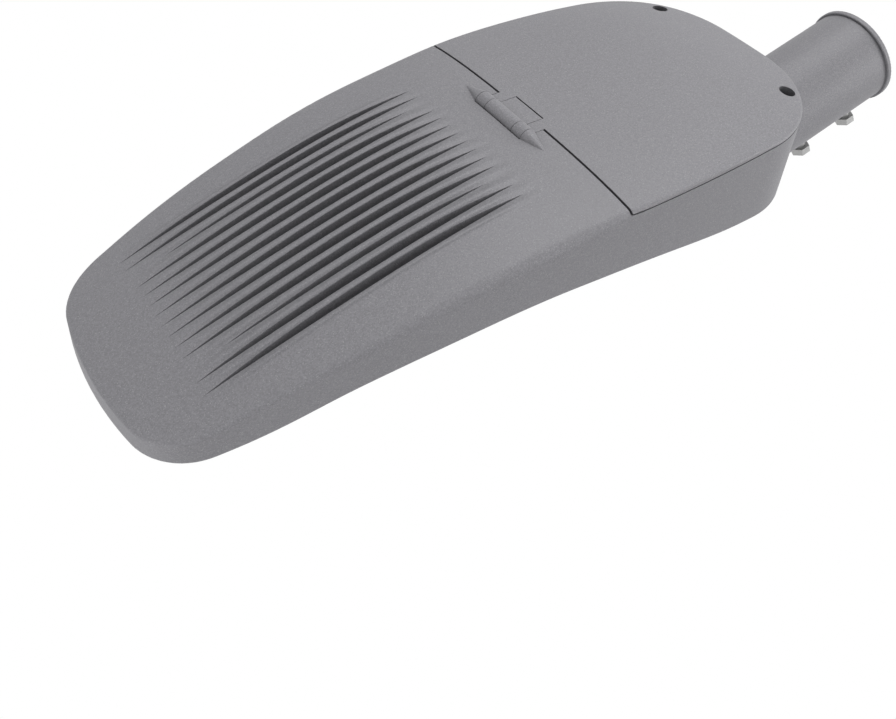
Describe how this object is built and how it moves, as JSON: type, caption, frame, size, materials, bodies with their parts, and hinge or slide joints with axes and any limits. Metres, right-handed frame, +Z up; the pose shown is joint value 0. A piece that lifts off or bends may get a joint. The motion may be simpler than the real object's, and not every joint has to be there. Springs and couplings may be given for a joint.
{
  "type": "street light head",
  "caption": "LED street light head with a grooved die-cast body, a hinged gear cover, a glass light window and a spigot for a bracket arm.",
  "frame": {"origin": "centre of the spigot's mouth, where the bracket arm enters", "axes": "+X from the nose to the spigot, +Y to the head's left as seen from the spigot's end looking to the nose, +Z up; the cover's parting plane is level, and the spigot's axis rises towards its mouth"},
  "size_m": [0.6111, 0.198, 0.1286],
  "materials": {
    "cast_body": "fine textured grey powder coat",
    "bezel_paint": "satin grey powder coat",
    "zinc_screws": "bright zinc",
    "board_screw_steel": "satin",
    "pin_steel": "satin",
    "seal_rubber": "matt",
    "window_glass": "clear tempered",
    "lens_clear": "clear moulded",
    "led_yellow": "phosphor",
    "board_white": "white solder mask",
    "pad_grey": "soft matt",
    "plate_aluminium": "mill",
    "driver_case": "matt",
    "terminal_plastic": "matt",
    "terminal_brass": "bright",
    "arrester_plastic": "matt",
    "gland_plastic": "matt",
    "vent_plastic": "matt"
  },
  "bodies": {
    "body": {"bezel_screws": "zinc_screws", "board_screws_front": "board_screw_steel", "board_screws_rear": "board_screw_steel", "breather_vent": "vent_plastic", "clamp_screw_inner": "zinc_screws", "clamp_screw_outer": "zinc_screws", "cover_gasket": "seal_rubber", "driver_screws": "zinc_screws", "earth_screw": "zinc_screws", "gear_tray": "plate_aluminium", "gland_body": "gland_plastic", "gland_cap": "gland_plastic", "gland_seal": "seal_rubber", "glass_gasket": "seal_rubber", "heat_plate": "plate_aluminium", "housing": "cast_body", "led_board_front": "board_white", "led_board_rear": "board_white", "led_driver": "driver_case", "led_packages_front": "led_yellow", "led_packages_rear": "led_yellow", "lens_plate_front": "lens_clear", "lens_plate_rear": "lens_clear", "saddle_bolts": "zinc_screws", "saddle_gasket": "seal_rubber", "saddle_washers": "zinc_screws", "spigot": "cast_body", "surge_protector": "arrester_plastic", "terminal_block": "terminal_plastic", "terminal_screws": "terminal_brass", "thermal_pad_front": "pad_grey", "thermal_pad_rear": "pad_grey", "tray_screws": "zinc_screws", "window_bezel": "bezel_paint", "window_glass": "window_glass"},
    "cover": {"gear_cover": "cast_body", "hinge_pin": "pin_steel", "cover_screw_near": "zinc_screws", "cover_screw_far": "zinc_screws"}
  },
  "joints": [
    {"name": "cover_hinge", "type": "hinge", "parent": "body", "child": "cover", "pos_m": [-0.3365, 0, 0.0546], "axis": [0, -1, 0], "range_deg": [0, 105]}
  ]
}
